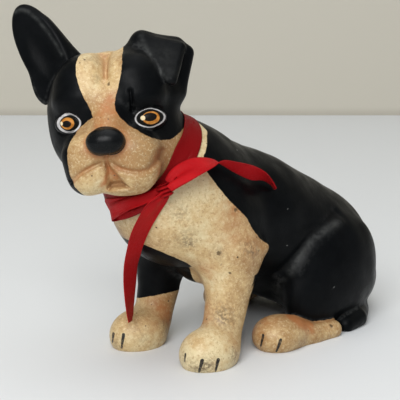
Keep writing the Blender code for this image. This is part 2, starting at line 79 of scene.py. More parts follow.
# Hind toes as (across, back), and thighs as centre and radii.
HIND_TOES = ((37.5, -6.5), (-39, 30))
THIGHS = (((33, 42, 32), (16, 38, 28)), ((-35, 56, 37), (14, 34, 26)))
# Folds in the front of the face, seen square to it: depth, half width and line.
FACE_FOLDS = (
    (3.2, 3.0, ((-2.4, 0, 34), (-1, 0, 28.5), (-0.4, 0, 22))),
    (1.9, 1.0, ((12.7, 0, 14.6), (12.8, 0, 10), (12.5, 0, 5))),
    (1.7, 1.5, ((-4, 0, -20), (-8, 0, -21.5), (-14, 0, -24.5), (-20, 0, -28.5))),
    (1.7, 1.5, ((1, 0, -20), (5, 0, -23), (10, 0, -25), (15, 0, -26), (19, 0, -25), (22, 0, -22.4),
                (24, 0, -18.5), (24.8, 0, -16.5))),
)
# Gentle lumps all over the castings.
LUMP_HEIGHT = 0.16
LUMP_LENGTH = 17
LUMP_SEED = 3

RIBBON_WIDTH = 15.9
RIBBON_THICKNESS = 0.36
RIB_PITCH = 0.45
THREAD_PITCH = 0.3
# The collar's lower edge lies in a plane across the neck. Its upper edge is tucked up under the jaw.
COLLAR_CENTRE = (-1.0, -65.0, 105.3)
COLLAR_TURN = (46.5, -8.6, 0.0)
COLLAR_RISE = 15.4
# The head's and the body's sculpted forms meet this far above the collar's lower edge.
SEAM_RISE = 4
# Steps round the neck, the height of a level up it, and the fewest levels that the collar keeps.
COLLAR_STEPS = 96
COLLAR_LEVEL = 0.5
COLLAR_LEAST_LEVELS = 16
KNOT_CENTRE = (29.4, -84.6, 99.2)
KNOT_RADII = (3.2, 2.2, 3.5)
KNOT_TURN = (0.0, -25.0, 46.0)
KNOT_STEPS = 48
KNOT_FOLDS = 3.5
# Shares of the width, from edge to edge.
ACROSS = np.linspace(-0.5, 0.5, 17)
KNOT_ACROSS = np.linspace(-0.5, 0.5, 41)
# Steps between two stations of a free stretch, its folds, and how far it and the collar clear the iron.
STRETCH_STEPS = 10
STRETCH_FOLDS = 1.5
STRETCH_GAP = 1.1
COLLAR_GAP = 0.55

# Stations along the free stretches of ribbon: middle, direction across, and the share of the width spread.
LOOP = (
    ((27.3, -84.6, 99.9), (0.80, -0.55, -0.26), 0.60),
    ((22.8, -89.6, 96.5), (0.75, -0.51, -0.42), 0.72),
    ((11.7, -93.7, 92.0), (0.76, -0.47, -0.46), 0.85),
    ((-4.6, -91.0, 86.0), (0.71, -0.38, -0.59), 0.98),
    ((-10.5, -87.6, 83.6), (0.66, -0.38, -0.65), 1.0),
    ((-10.1, -84.4, 82.8), (0.71, -0.42, -0.57), 0.98),
    ((2.1, -84.8, 86.1), (0.74, -0.44, -0.51), 0.85),
    ((15.8, -85.9, 91.5), (0.73, -0.48, -0.49), 0.72),
    ((24.8, -83.7, 97.3), (0.78, -0.53, -0.32), 0.60),
)
LONG_TAIL = (
    ((28.7, -84.8, 97.1), (-0.12, 0.98, 0.15), 0.72),
    ((26.5, -86.8, 93.3), (-0.04, 1.0, 0.04), 0.95),
    ((20.9, -88.6, 84.4), (-0.14, 0.99, -0.07), 1.0),
    ((14.9, -88.8, 75.1), (-0.20, 0.97, -0.12), 1.0),
    ((6.6, -85.3, 64.3), (-0.28, 0.95, -0.15), 1.0),
    ((-1.7, -81.0, 53.6), (-0.36, 0.92, -0.17), 1.0),
    ((-6.3, -77.9, 43.2), (-0.39, 0.90, -0.18), 1.0),
    ((-9.0, -75.9, 32.6), (-0.49, 0.86, -0.18), 1.0),
    ((-11.3, -73.8, 23.2), (-0.58, 0.79, -0.19), 1.0),
    ((-11.9, -72.5, 17.9), (-0.62, 0.76, -0.19), 1.0),
)
SHORT_TAIL = (
    ((30.3, -82.5, 101.6), (0.78, -0.51, -0.37), 0.55),
    ((31.6, -80.2, 104.8), (0.73, -0.48, -0.49), 0.8),
    ((34.1, -75.1, 108.1), (0.69, -0.5, -0.53), 0.95),
    ((37.1, -69.0, 110.6), (0.69, -0.58, -0.43), 1.0),
    ((40.0, -61.2, 111.8), (0.73, -0.68, -0.1), 1.0),
    ((41.3, -55.0, 111.4), (0.71, -0.64, 0.31), 1.0),
    ((40.6, -43.7, 107.2), (0.65, -0.56, 0.52), 1.0),
    ((39.1, -30.5, 102.5), (0.6, -0.5, 0.62), 1.0),
    ((37.6, -19.8, 99.0), (0.69, -0.57, 0.44), 1.0),
    ((36.9, -13.1, 94.5), (0.71, -0.64, 0.31), 1.0),
    ((37.0, -9.8, 90.5), (0.71, -0.66, 0.24), 1.0),
)

# Paint edges on the face, seen square to it as (across, up).
BLAZE_LEFT = (
    (-9, 44), (-12.1, 36.1), (-13.4, 30.1), (-13.2, 24.3), (-11.6, 18.1), (-9.6, 12.9), (-7.2, 7.8),
    (-5.4, 2.7),
)
MUZZLE_LEFT = (
    (-8.8, 1.3), (-14.2, -2.3), (-17.2, -7.0), (-19.2, -11.8), (-19.5, -17.3), (-19.3, -25.2),
    (-17.6, -30.9), (-13, -37), (-10, -46),
)
BLAZE_RIGHT = (
    (6, 44), (9.2, 36.7), (10.2, 29.5), (9.6, 23.8), (8.2, 18.3), (6.5, 12.9), (5.6, 8.5), (6.2, 5.2),
    (8.2, 1.7), (12.0, -2.5), (16.4, -5.5), (21.5, -8.7), (25.9, -10.9), (29.8, -11.1), (32.9, -9.5),
    (35.0, -7.2), (36.6, -5.0), (40, -3), (60, -3),
)
# Paint edges on the body, seen from its side as (back, up).
LEFT_EDGE = (
    (-43.8, 150), (-43.8, 124.2), (-47.9, 121.9), (-57.1, 113.4), (-57.8, 105.6), (-53.5, 98.3),
    (-46.4, 89.7), (-41.9, 85.3), (-35.1, 79.0), (-30.7, 71.8), (-25.5, 66.0), (-17.5, 60.5), (-19.5, 55),
    (-24, 50), (-24, -20),
)
RIGHT_EDGE = (
    (-43.8, 150), (-43.8, 124.2), (-52, 119), (-60, 108), (-64, 96), (-66, 82), (-70, 72), (-76, 66.6),
    (-110, 66),
)
# Lower edge of the cream on the chest, seen from in front as (across, up).
CHEST_EDGE = (
    (-70, 68), (-4.8, 66.6), (7.7, 65.9), (14.0, 62.9), (17.4, 59.0), (18.6, 54.5), (18, 51), (12, 46),
    (-20, 20),
)
FAR_PAW_EDGE = 26.5
# Signed distances given to places far outside a painted mark and well inside the black.
OUTSIDE = -5.0
WELL_INSIDE = 50.0
# How far out of the skin hollows are felt, and how far into it edges are.
HOLLOW_PROBE = 3
EDGE_PROBE = 2.4
# Painted eyes, seen square to the face: (across, up, half width, half height, roundness of the corners).
EYE_PAINT = (
    ("eye_ring", (-19.1, 1.0, 6.5, 5.2, 0.9), (22.0, 0.6, 7.5, 5.0, 0.78)),
    ("eye_lid", (-18.7, 0.9, 5.1, 4.1, 0.9), (22.0, 0.7, 6.8, 4.5, 0.78)),
    ("iris", (-19.6, 0.8, 3.6, 3.0, 1.0), (22.8, 0.6, 4.2, 3.2, 1.0)),
    ("pupil", (-20.0, 0.5, 2.5, 1.75, 1.0), (22.4, 1.05, 3.4, 2.15, 1.0)),
    ("glint", (-22.7, 1.0, 0.75, 1.1, 1.0), (18.9, 0.8, 1.25, 1.2, 1.0)),
)
# Claws painted on the toes: root, tip and half width.
CLAWS = (
    ((31.7, -72.6, 9.8), (31.3, -72.9, 5.3), 0.5),
    ((40.9, -69.2, 7.6), (38.6, -69.3, 0.8), 1.05),
    ((45.4, -61.8, 7.4), (43.9, -62.2, 0.9), 0.95),
    ((-21.3, -77.5, 9.6), (-22.2, -77.7, 4.2), 0.75),
    ((-14.5, -76.0, 10.3), (-15.7, -76.5, 2.4), 0.95),
    ((40.2, -21.6, 10.6), (37.8, -21.4, 2.8), 0.7),
    ((48.5, -16.4, 8.5), (45.6, -16.8, 1.2), 0.95),
    ((-41.7, 14.9, 10.6), (-39.3, 15.1, 2.8), 0.7),
    ((-50.0, 20.1, 8.5), (-47.1, 19.7, 1.2), 0.95),
)
# Pits in the casting: place and radius.
PITS = (
    ((36.0, -52.4, 62.2), 1.5), ((36.1, -50.1, 55.2), 0.7), ((38.3, -46.1, 50.0), 0.85),
    ((42.2, -28.4, 59.9), 0.8), ((43.3, -35.4, 60.4), 0.7), ((39.0, -42.5, 84.2), 1.3),
    ((28.0, -74.3, 93.6), 0.5), ((33.5, -48.4, 28.1), 0.5), ((35.8, -46.9, 26.6), 0.55),
    ((27.4, -65.4, 67.3), 0.8), ((49.3, 25.9, 7.5), 1.4), ((8.6, -102.9, 153.2), 1.2),
)
# Soft stains on the face, seen from its own centre, and on the body: place or line, radius and strength.
FACE_CREASES = (
    (((-3.3, -4.5, 34.7), (-1.4, -14.2, 28.6), (-0.6, -20.6, 21.2)), 2.4, 0.4),
    (
        ((5, -31.6, -23.1), (12, -32.6, -24.4), (16, -31.6, -25.1), (20, -28.6, -23.8), (23, -23.2, -20.7)),
        1.3, 0.45,
    ),
    (((-8.4, -32.6, -21.1), (-12.6, -32.7, -22.8), (-17.5, -29.9, -26.7), (-19.7, -27.4, -29.7)), 1.4, 0.65),
    (((-0.8, -33, -17), (-1, -30, -24), (-4.5, -28.5, -31)), 1.3, 0.6),
)
FACE_GLAZE = (
    ((1.5, -28, -26), 4.5, 1.0), ((-2, -29, -30), 3.5, 0.5), ((2, -29.5, 6), 6, 0.7),
    ((4, -28, 12), 4, 0.5), ((-3, -33, 1), 5, 0.4), ((10, -30, 2), 6, 0.4), ((24, -19, -19), 3, 0.3),
    ((8, -33, -18), 5, 0.25),
)
FACE_SMUDGES = (
    ((-9, -17, 30), 5, 0.55), ((-4, -24, 22), 3, 0.4), ((14, -30, -14), 7, 0.35), ((20, -27, -10), 5, 0.3),
)
BODY_GLAZE = (
    ((42, 2, 17.5), 5.5, 1.6), ((46, 3, 15), 5, 1.6), ((47, 8, 12), 5, 1.5), ((46, 13, 11), 4, 0.5),
    ((36, -13, 17), 6, 0.5), ((30, -16, 8), 9, 0.8), ((22.8, -49.6, 24.3), 7, 0.75),
    ((27.4, -54, 51.3), 6, 0.4), ((39, -44, 74), 11, 0.4), ((42, -33, 62), 8, 0.5), ((36, -44, 86), 7, 0.5),
    ((-13.4, -49.8, 19.2), 7, 0.6), ((-12, -45, 13.8), 6, 0.7), ((-20, -48, 26), 6, 0.35),
    ((-9, -60, 14), 6, 0.3), ((46, -46, 14), 6, 0.4), ((50, 24, 10), 5, 0.3),
)
BODY_SMUDGES = (
    ((28.7, -73, 85.4), 5, 0.5), ((27.5, -68, 70.7), 6, 0.55), ((27.4, -65.4, 67.3), 3, 0.5),
    ((36, -52, 62), 5, 0.4), ((35.9, -47.3, 23.9), 6, 0.6), ((34.2, -47.9, 28.1), 5, 0.4),
    ((42.5, -38.4, 64), 5, 0.45), ((43, -33, 61), 4, 0.7), ((42.8, -66.8, 4.5), 4.5, 0.9),
    ((38, -70, 3), 4, 0.7), ((45.8, -49.6, 7.2), 4, 0.7), ((31, -72, 7), 4, 0.4), ((-18, -77, 4), 4, 0.5),
    ((-8, -68, 8), 5, 0.3), ((-9, -50, 10), 5, 0.45), ((38, -20, 6), 4, 0.3),
)
# Rims and ridges where the black has wear and painted highlights, and bare scratches from end to end.
EAR_RIM = (
    (-57.9, -111.4, 186.5), (-53.9, -110.2, 187.9), (-49.7, -108.8, 187.1), (-43.7, -107, 182.9),
    (-37.8, -105.3, 176.6), (-32.6, -104, 170.3), (-29, -103.2, 165.4),
)
FLAP_RIM = (
    (6, -79.1, 175.7), (11, -80.2, 170), (18.1, -82.4, 164.5), (22.5, -81, 158.7), (26.8, -80.3, 155),
)
# Painted sheen, with some wear, on the folded ear and the head: place, radius and strength.
FLAP_SHEEN_AND_RUBS = (((20, -77, 169), 7, 0.45), ((25, -77, 158), 5, 0.35), ((16, -103, 150), 3, 0.4))
HAUNCH_RIDGE = (
    (38.2, 42.8, 63.8), (38.2, 36.3, 62.4), (37.2, 21.8, 56.8), (35.5, 12.7, 47.6), (33.1, 8.4, 40.2),
)
SCRATCHES = (
    ((48.1, 30.1, 30.2), (47.5, 26.7, 28.2)), ((39, -2, 78), (39, 0.5, 79)), ((43, 52, 46), (42, 52.5, 48)),
)
SCRATCH_HALF_WIDTH = 0.22
# Marks that only the head or only the body has.
MARKS = ("eye_ring", "eye_lid", "iris", "pupil", "glint", "nose", "claw")

# The photograph's camera, with its place in millimetres about the body's middle.
VIEW_TURN = 46
VIEW_RISE = 12
CAMERA_PLACE = (489.5, -504.0, 226.6)
FOCAL_PIXELS = 1250
PHOTO_PIXELS = 400
SENSOR_WIDTH = 36

# The stage in metres, and its lamps in watts. The wall's foot lies on the photograph's horizon line.
TABLE_WIDTH = 6
WALL_SIZE = (8, 3)
WALL_DISTANCE = 0.89
WALL_FOOT = 0.012
# Lamps are placed from where they aim: the window as (right, up, towards the camera).
LIGHT_AIM = (0, 0, 0.09)
ROOM_STRENGTH = 0.34
WINDOW_PLACE = (-0.3, 0.66, 1.3)
WINDOW_POWER = 23
WINDOW_SIZE = 0.9
CEILING_HEIGHT = 1.6
CEILING_POWER = 9
CEILING_SIZE = 1.4


def turned(angles):
    """Rotation matrix for X, Y and Z turns in degrees."""
    return np.array(Euler([math.radians(a) for a in angles]).to_matrix())


def floats(values):
    return np.array(values, np.float32)


def lengths(vectors):
    return np.linalg.norm(vectors, axis=-1)


def fade(far, width):
    """Bump of height 1 that fades with distance."""
    return np.exp(-np.square(far / width))


def unit(values):
    """The values, held between 0 and 1."""
    return np.clip(values, 0, 1)


def local(points, centre, turn=(0, 0, 0)):
    """The points as seen from a form's own centre and axes."""
    return (points - floats(centre)) @ turned(turn).astype(np.float32)


def egg(points, centre, radii, turn=(0, 0, 0)):
    """Distance to an ellipsoid."""
    scaled = local(points, centre, turn) / floats(radii)
    reach = lengths(scaled) + 1e-6
    slope = lengths(scaled / floats(radii)) + 1e-6
    return reach * (reach - 1) / slope


def cushion(points, centre, halves, rounding, turn=(0, 0, 0)):
    """Distance to a box with generously rounded edges."""
    beyond = np.abs(local(points, centre, turn)) - (floats(halves) - rounding)
    outside = lengths(np.maximum(beyond, 0))
    return outside + np.minimum(beyond.max(-1), 0) - rounding


def limb(points, start, end, start_radius, end_radius):
    """Distance to a round rod that tapers from start to end."""
    start, along = floats(start), floats(end) - floats(start)
    share = unit((points - start) @ along / (along @ along))
    nearest = start + share[..., None] * along
    return lengths(points - nearest) - (start_radius + share * (end_radius - start_radius))


def chain(points, *stations):
    """Distance to a bent rod through stations of (point, radius)."""
    pairs = zip(stations, stations[1:])
    return np.minimum.reduce([limb(points, a, b, ra, rb) for (a, ra), (b, rb) in pairs])


def join(one, other, fillet):
    """Smooth union with a fillet of about that size."""
    share = unit(0.5 + 0.5 * (other - one) / fillet)
    return other + (one - other) * share - fillet * share * (1 - share)


def joined(form, *others):
    """A form with others joined to it in turn, each given with its fillet."""
    for other, fillet in others:
        form = join(form, other, fillet)
    return form


def carve(one, tool, fillet):
    """Smooth cut of a tool out of a form."""
    return -join(-one, tool, fillet)


def crease(one, other, width):
    """Union of two forms with a rounded groove along the line where they meet."""
    return carve(np.minimum(one, other), np.hypot(one, other) - width, width)


def plate(points, corners, thickness):
    """Distance to a three-cornered plate with round edges."""
    a, b, c = [floats(corner) for corner in corners]
    normal = np.cross(b - a, c - a)
    normal /= np.linalg.norm(normal)
    inside = np.ones(points.shape[:-1], bool)
    for start, end in ((a, b), (b, c), (c, a)):
        inside &= (points - start) @ np.cross(normal, end - start) >= 0
    rims = np.minimum.reduce([limb(points, s, e, 0, 0) for s, e in ((a, b), (b, c), (c, a))])
    return np.where(inside, np.abs((points - a) @ normal), rims) - thickness / 2


def folded(points):
    """The points with left and right folded together, for forms that come in pairs."""
    return points * floats((0, 1, 1)) + np.abs(points) * floats((1, 0, 0))


def trace(points, width, path, plane=(1, 0, 1)):
    """Bump of height 1 along a line drawn through places, seen square to a plane."""
    flat = floats(plane)
    far = chain(points * flat, *[(np.multiply(place, plane), 0) for place in path])
    return fade(far, width)


def wedge(points, corners, soft):
    """A soft-edged patch of height 1 inside three corners, seen square to the face as (across, up)."""
    inner = np.full(points.shape[:-1], 1e6, np.float32)
    for a, b in zip(corners, (*corners[1:], corners[0])):
        edge = floats((b[0] - a[0], b[1] - a[1]))
        edge /= np.linalg.norm(edge)
        inner = np.minimum(inner, (points[..., 2] - a[1]) * edge[0] - (points[..., 0] - a[0]) * edge[1])
    return unit(inner / soft + 0.5)


def waves(points, length, seed):
    """Gentle lumps of the hand-worked pattern, between about -1 and 1."""
    rng = np.random.default_rng(seed)
    total = np.zeros(points.shape[:-1], np.float32)
    for _ in range(5):
        way = rng.normal(size=3)
        way = (way / np.linalg.norm(way) * 2 * math.pi / length * rng.uniform(0.7, 1.4)).astype(np.float32)
        total += np.sin(points @ way + np.float32(rng.uniform(0, 6.28)))
    return total / 3.2


def in_head(points):
    return local(points, HEAD_CENTRE, HEAD_ANGLES)


def in_face(points):
    return in_head(points) - floats((FACE_MIDDLE, 0, 0))


def nose_field(face):
    lower = cushion(face, (-0.2, -36.6, -10.2), (8.5, 6.3, 5.3), 5.2)
    return join(lower, egg(face, (-0.2, -36.9, -9.2), (9.6, 7.3, 6.7)), 2)


def eye_field(face):
    return egg(folded(face), (20.3, -17.5, 0.5), (9, 7.5, 6), (0, 0, 38))


def skull_field(p):
    return join(egg(p, (-0.6, 5, 9), (34, 31, 28)), egg(p, (-0.2, 2, -7), (32.5, 27, 26)), 10)


def muzzle_field(face):
    return egg(face, (0.6, -16, -18.5), (24.2, 17, 17))


def head_field(points):
    """The head alone, with both ears."""
    p = in_head(points)
    face = in_face(points)
    both = folded(face)
    forehead = egg(both, (13, -12, 19), (15, 14, 16))
    bridge = limb(face, (0, -20, 5), (0, -29, -5), 9, 8)
    brows = egg(both, (18, -19, 12.5), (10, 7, 5), (0, 0, 35))
    head = joined(skull_field(p), (forehead, 8), (muzzle_field(face), 7), (bridge, 6), (brows, 6))
    sockets = egg(both, (23, -29.2, 1.5), (11, 6, 8), (0, 0, 38))
    head = crease(carve(head, sockets, 3), eye_field(face), 0.6)
    pads = egg(both, (11, -25, -15), (14, 10, 10), (0, 10, 0))
    flews = egg(both, (12, -21.5, -24.6), (11.7, 12, 11.8), (0, -15, 0))
    head = joined(head, (pads, 6), (flews, 4))
    front = p[..., 1] < -5
    for depth, width, line in FACE_FOLDS:
        head = head + depth * front * trace(face, width, line)
    lower_lip = egg(face, (6, -19, -33.4), (12, 10.5, 4.5))
    head = join(head, lower_lip, 2)
    head = head + 2.6 * front * wedge(face, ((-1.2, -20), (-2.2, -33.5), (8, -33)), 1.8)
    head = head + 1.2 * front * trace(face, 1.1, ((-0.8, 0, -15), (-1, 0, -21)))
    head = join(head, nose_field(face), 0.7)
    leaf = local(p, (-35, 5.5, 39), (0, -28, -20))
    ear = join(egg(leaf, (0, 0, 0), (13.2, 7.5, 29)), egg(p, (-32, 4, 23), (11.3, 7, 12.5)), 5)
    ear = join(ear, limb(p, (-17, 6, 31), (-34, 7, 52), 5, 3.6), 5)
    ear = carve(ear, leaf[..., 1] + 2.8, 1.2)
    ear = carve(ear, egg(leaf, (1.5, -7.8, -2), (9, 7, 21)), 2.5)
    head = crease(head, ear, 0.9)
    ear_front = plate(p, ((11.5, -3, 31), (30, -2, 14), (17.5, -2, 40)), 8)
    ear_back = plate(p, ((18, 0, 40.5), (34, 4, 14), (39.5, 5, 33)), 9)
    fold = limb(p, (18, -0.5, 39.6), (34.5, 3, 37.2), 4.6, 4.6)
    flap = plate(p, ((19.5, -5, 40), (37.6, -2, 35.5), (33.6, -16.5, 19)), 6)
    folded_ear = joined(ear_front, (ear_back, 6), (fold, 4))
    return joined(head, (folded_ear, 9), (flap, 2.6))


def foreleg(points, elbow, wrist, paw):
    leg = chain(points, (elbow, 16), (wrist, 12), ((wrist[0], wrist[1] - 4, 14), 10.6))
    return join(leg, egg(points, paw, (14.5, 18, 14)), 7)


def left_foreleg(points):
    return foreleg(points, (27, -35, 58), (27.6, -37.4, 32), (32, -55, 6.5))


def right_foreleg(points):
    return foreleg(points, (-25, -37, 58), (-24, -41, 30), (-20, -60, 6.5))


def hind_foot(points, x, y):
    side = math.copysign(1, x)
    heel = ((x + side * 8.2, y + 37.5, 3.6), 5.4)
    foot = chain(points, heel, ((x + side * 5.6, y + 23, 2.6), 7), ((x + side * 2, y + 10, 5.4), 9.6))
    return join(foot, egg(points, (x, y, 6.8), (14, 16, 11.2)), 4.5)


def chest_field(points):
    return egg(points, (0, -49, 88), (37, 38, 40), (15, 0, 0))


def body_field(points):
    """The body alone, with legs and tail."""
    p = points
    both = folded(p)
    rump = egg(p, (0, 53, 39), (41, 43, 40))
    seat = egg(p, (0, 59, 22), (42.5, 43.5, 28))
    barrel = egg(p, (0, 4, 66), (36, 62, 36), (-26, 0, 0))
    back = chain(p, ((-1, -40, 96), 28), ((0, -3, 78), 29), ((1, 39, 58.5), 29))
    body = joined(rump, (barrel, 22), (chest_field(p), 16), (back, 6), (seat, 10))
    body = body - 1.7 * fade(p[..., 1] - 22, 20) * unit((p[..., 2] - 66) / 14)
    shoulders = egg(both, (25, -36, 66), (15, 22, 28), (15, 0, 0))
    body = joined(body, (neck_field(p), 12), (shoulders, 10))
    under_belly = egg(p, (-12, 26, -2), (40, 46, 22))
    body = carve(body, under_belly, 6)
    elbow = limb(p, (29, -33, 61), (38.4, -20.4, 60.4), 10, 3)
    elbow = join(elbow, limb(p, (37, -23, 58), (31, -34, 42), 4, 9), 3)
    brisket = egg(p, (4, -28, 46.5), (16, 20, 11.5))
    body = joined(body, (left_foreleg(p), 6.5), (elbow, 4), (brisket, 8), (right_foreleg(p), 9))
    for toes, thigh in zip(HIND_TOES, THIGHS):
        body = joined(body, (egg(p, *thigh, (30, 0, 0)), 10), (hind_foot(p, *toes), 3))
    fold = ((0, 48, 68), (0, 34, 64), (0, 20, 58), (0, 11, 49), (0, 5, 40))
    ridge = ((0, 46, 64), (0, 36, 61), (0, 23, 55), (0, 15, 46.5), (0, 10, 39))
    groove = 1.1 * trace(both, 2.8, fold, (0, 1, 1)) - 0.8 * trace(both, 2.2, ridge, (0, 1, 1))
    body = body + groove * unit(both[..., 0] / 8 - 1)
    tip = ((45.5, 43.5, 3.5), 4.8)
    tail = chain(p, ((16, 80, 5.5), 6), ((33, 70.5, 4.8), 6), ((43, 57, 4.5), 5.8), tip)
    return join(body, tail, 4)


def neck_field(points):
    return limb(points, (0, -44, 92), (-4, -76, 118), 28, 27)


def neck_form(points):
    """The chest and neck without the head."""
    return join(chest_field(points), neck_field(points), 12)


def lumps(points):
    return LUMP_HEIGHT * waves(points, LUMP_LENGTH, LUMP_SEED)


def head_form(points):
    """The head with as much of the neck and chest as meets it."""
    return join(neck_form(points), head_field(points), 6) + lumps(points)


def body_form(points):
    """The body with as much of the head as meets it."""
    head = join(skull_field(in_head(points)), muzzle_field(in_face(points)), 7)
    return join(body_field(points), head, 6) + lumps(points)


def sculpted(field, box, voxel):
    """Places and faces of a field's surface, in millimetres. Only the grid near it is worked out finely."""
    low, high = box
    step, band = COARSE_STEP, FINE_BAND * voxel
    counts = [int((b - a) / voxel / step) * step + step + 1 for a, b in zip(low, high)]
    axes = [np.arange(n, dtype=np.float32) * voxel + a for n, a in zip(counts, low)]
    coarse = field(np.stack(np.meshgrid(*[axis[::step] for axis in axes], indexing="ij"), -1))
    rough = coarse.repeat(step, 0).repeat(step, 1).repeat(step, 2)[: counts[0], : counts[1], : counts[2]]
    values = np.where(rough < 0, -band, band).astype(np.float32)
    near = np.nonzero(np.abs(rough) < COARSE_BAND * voxel)
    places = np.stack([axis[index] for axis, index in zip(axes, near)], -1)
    values[near] = np.clip(field(places), -band, band)
    grid = openvdb.FloatGrid()
    grid.copyFromArray(values)
    points, triangles, quads = grid.convertToPolygons(isovalue=0.0)
    return points * voxel + np.array(low), [*triangles.tolist(), *quads.tolist()]


def in_scene(name, data):
    thing = bpy.data.objects.new(name, data)
    bpy.context.scene.collection.objects.link(thing)
    return thing


def placed(name, mesh, material):
    """A finished piece at the origin, riding on the doorstop."""
    thing = in_scene(name, mesh)
    mesh.materials.clear()
    mesh.materials.append(material)
    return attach(thing, "root")


def in_frame(points):
    """Millimetres about the body's middle to metres in the doorstop's frame."""
    return (np.asarray(points, float) + BODY_MIDDLE) * MM


def from_frame(points):
    """The way back from in_frame."""
    return (np.asarray(points, float) / MM - BODY_MIDDLE).astype(np.float32)


def sliced(form, place, normal):
    """Cuts away what lies in front of a plane, and closes the cut."""
    place = Vector(in_frame(place))
    bmesh.ops.bisect_plane(
        form, geom=form.verts[:] + form.edges[:] + form.faces[:], plane_co=place, plane_no=Vector(normal),
        clear_outer=True,
    )
    rim = [edge for edge in form.edges if edge.is_boundary]
    if rim:
        bmesh.ops.triangle_fill(form, use_beauty=True, use_dissolve=False, edges=rim)


def edge_side(points, path):
    """Signed distance to a drawn edge: positive to the right of its direction, in a plane."""
    best = np.full(len(points), 1e9)
    sign = np.ones(len(points))
    for a, b in zip(np.array(path, float), np.array(path, float)[1:]):
        along = b - a
        share = unit((points - a) @ along / (along @ along))
        off = points - a - share[:, None] * along
        far = lengths(off)
        side = along[1] * (points - a)[:, 0] - along[0] * (points - a)[:, 1]
        nearer = far < best
        best[nearer] = far[nearer]
        sign[nearer] = np.sign(side[nearer])
    return best * sign


def distance_to(points, places):
    """Distance to a line that runs from place to place."""
    return chain(points, *[(place, 0) for place in places])


def blobs(points, places):
    """Soft spots of height 1: each has a place, a radius and a strength."""
    total = np.zeros(len(points))
    for place, radius, strength in places:
        total += strength * fade(lengths(points - np.array(place)), radius)
    return total


def head_black(points):
    """Signed distance to the black paint's edge on the head, positive on black."""
    p = in_head(points).astype(float)
    flat = p[:, (0, 2)]
    left = edge_side(flat, (*BLAZE_LEFT, *MUZZLE_LEFT))
    right = -edge_side(flat, BLAZE_RIGHT)
    black = np.maximum(left, right)
    behind = unit((p[:, 1] - 2) / 10)
    nape = np.minimum(np.maximum(np.abs(p[:, 0] + 1.5) - 11 + p[:, 1] * 0.4, -8), p[:, 2] + 5)
    return black * (1 - behind) + nape * behind


def body_black(points):
    """Signed distance to the black paint's edge on the body, positive on black."""
    p = points.astype(float)
    left = -edge_side(p[:, 1:], LEFT_EDGE)
    right = -edge_side(p[:, 1:], RIGHT_EDGE)
    share = unit(p[:, 0] / 8 + 0.5)
    black = right + (left - right) * share
    chest = edge_side(p[:, (0, 2)], CHEST_EDGE)
    black = np.where(p[:, 2] > 47, np.maximum(black, chest), np.where(p[:, 0] > 0, WELL_INSIDE, black))
    leg = left_foreleg(points)
    leg = leg - 0.9 - 6 * unit((-36 - p[:, 1]) / 6) + np.maximum(p[:, 2] - 51, 0)
    black = np.where(p[:, 2] < 60, np.minimum(black, leg), black)
    far_paw = p[:, 2] - FAR_PAW_EDGE - 0.28 * (p[:, 0] + 19)
    black = np.minimum(black, np.where(right_foreleg(points) < 3, far_paw, WELL_INSIDE))
    for toes in HIND_TOES:
        black = np.minimum(black, hind_foot(points, *toes) - 0.7)
    return black


def eye_marks(points):
    """Signed distances, positive inside, of the painted ring, lid, iris, pupil and glint of both eyes."""
    p = in_head(points).astype(float)
    shown = (eye_field(in_face(points)) < 1.2) & (p[:, 1] < -12)
    marks = {}
    for name, *ovals in EYE_PAINT:
        best = np.full(len(points), OUTSIDE)
        for x, z, wide, high, sharp in ovals:
            u, w = (p[:, 0] - x) / wide, (p[:, 2] - z) / high
            reach = np.hypot(np.abs(u) ** sharp, w) + 1e-6
            best = np.maximum(best, np.where(shown, (1 - reach) * min(wide, high), OUTSIDE))
        marks[name] = best
    return marks


def brush_stroke(points, start, end, half_width):
    """Signed distance, positive inside, to a stroke painted on the skin between two places."""
    outwards = floats((-0.7 if start[0] < -30 else 0.7, -0.68, 0.2))
    start, end = floats(start), floats(end)
    depth = (points - (start + end) / 2) @ outwards
    flat = points - np.clip(depth, -7, 5)[:, None] * outwards
    line = [place - ((place - (start + end) / 2) @ outwards) * outwards for place in (start, end)]
    return -limb(flat, *line, half_width, half_width * 0.55)


def set_attribute(mesh, name, values):
    attribute = mesh.attributes.new(name, "FLOAT", "POINT")
    attribute.data.foreach_set("value", np.asarray(values, np.float32))


def head_coats(points):
    """Black, eyes, nose, stains, tone, and wear with painted highlights, of the head."""
    face = in_face(points)
    x, z = face[:, 0], face[:, 2]
    ahead = face[:, 1] < -20
    nose = nose_field(face)
    by_nose = fade(np.maximum(nose, 0), 2.8) * ahead
    glaze = 0.7 * by_nose + blobs(face.astype(float), FACE_GLAZE)
    for places, width, strength in FACE_CREASES:
        glaze += strength * fade(distance_to(face, places), width)
    # Browner towards the face's right side, and paler on the blaze and the chin.
    tone = 0.92 + 0.3 * np.clip(x / 12, -0.6, 1)
    tone = tone - 0.45 * unit((z - 10) / 8) - 0.4 * unit((-25 - z) / 4)
    # Wear and painted highlights along the ear's rim and on the folded ear's flap.
    rub_and_highlight = fade(distance_to(points, EAR_RIM), 1.1) + blobs(points, FLAP_SHEEN_AND_RUBS)
    rub_and_highlight = rub_and_highlight + 0.8 * fade(distance_to(points, FLAP_RIM), 1.3)
    smudge = blobs(face.astype(float), FACE_SMUDGES)
    coats = {"black": head_black(points), "glaze": glaze, "tone": tone, "rub_and_highlight": rub_and_highlight, "smudge": smudge}
    return {**coats, **eye_marks(points), "nose": np.where(ahead, 0.5 - nose, OUTSIDE)}


